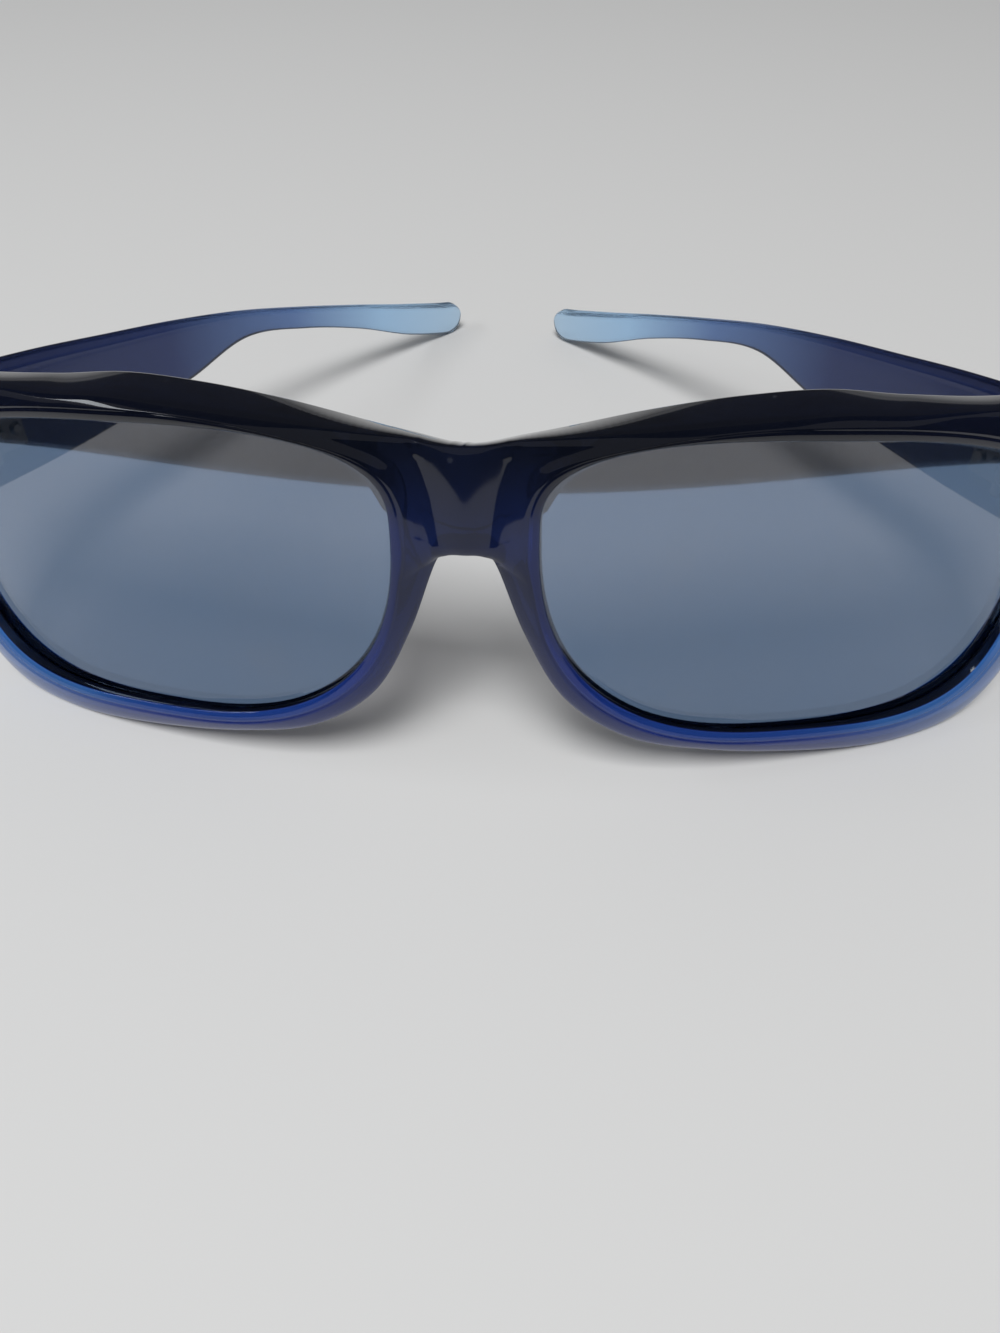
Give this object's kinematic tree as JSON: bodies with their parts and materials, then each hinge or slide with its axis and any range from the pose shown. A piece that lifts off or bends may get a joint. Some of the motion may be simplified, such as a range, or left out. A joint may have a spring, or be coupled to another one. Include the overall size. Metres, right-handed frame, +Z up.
{
  "type": "wrap-around sunglasses",
  "caption": "Wrap-around polarized sunglasses with a deep one-piece front, laminated tinted lenses and two folding temples on riveted barrel hinges.",
  "frame": {"origin": "middle of the bounding box at the ground that the lower rims and a temple tip stand on", "axes": "+X to the wearer's left, +Y from the front towards the ears, +Z up from the ground"},
  "size_m": [0.15, 0.1194, 0.0506],
  "materials": {
    "front_plastic": "polished translucent moulded plastic, navy",
    "temple_plastic": "polished translucent moulded plastic, navy fading to light blue at the tip",
    "lens_outer_clear": "polished clear layer",
    "polarizing_film": "polarizing film",
    "lens_inner_tinted": "polished smoke blue layer",
    "hinge_steel": "stamped nickel silver, satin",
    "rivet_steel": "plain rivets",
    "screw_steel": "slotted screw",
    "washer_nylon": "plain nylon"
  },
  "bodies": {
    "front": {"front_frame": "front_plastic", "lens_outer_layer_left": "lens_outer_clear", "polarizing_film_left": "polarizing_film", "lens_inner_layer_left": "lens_inner_tinted", "front_hinge_leaf_left": "hinge_steel", "front_leaf_rivets_left": "rivet_steel", "hinge_screw_left": "screw_steel", "hinge_washers_left": "washer_nylon", "lens_outer_layer_right": "lens_outer_clear", "polarizing_film_right": "polarizing_film", "lens_inner_layer_right": "lens_inner_tinted", "front_hinge_leaf_right": "hinge_steel", "front_leaf_rivets_right": "rivet_steel", "hinge_screw_right": "screw_steel", "hinge_washers_right": "washer_nylon"},
    "temple_arm_left": {"temple_left": "temple_plastic", "temple_hinge_leaf_left": "hinge_steel", "temple_leaf_rivets_left": "rivet_steel"},
    "temple_arm_right": {"temple_right": "temple_plastic", "temple_hinge_leaf_right": "hinge_steel", "temple_leaf_rivets_right": "rivet_steel"}
  },
  "joints": [
    {"name": "temple_fold_left", "type": "hinge", "parent": "front", "child": "temple_arm_left", "pos_m": [0.0677, -0.02712, 0.02872], "axis": [0, 0.1303, 0.9915], "range_deg": [-26, 52]},
    {"name": "temple_fold_right", "type": "hinge", "parent": "front", "child": "temple_arm_right", "pos_m": [-0.0677, -0.02712, 0.02872], "axis": [0, -0.1303, -0.9915], "range_deg": [-23.5, 58.5]}
  ]
}
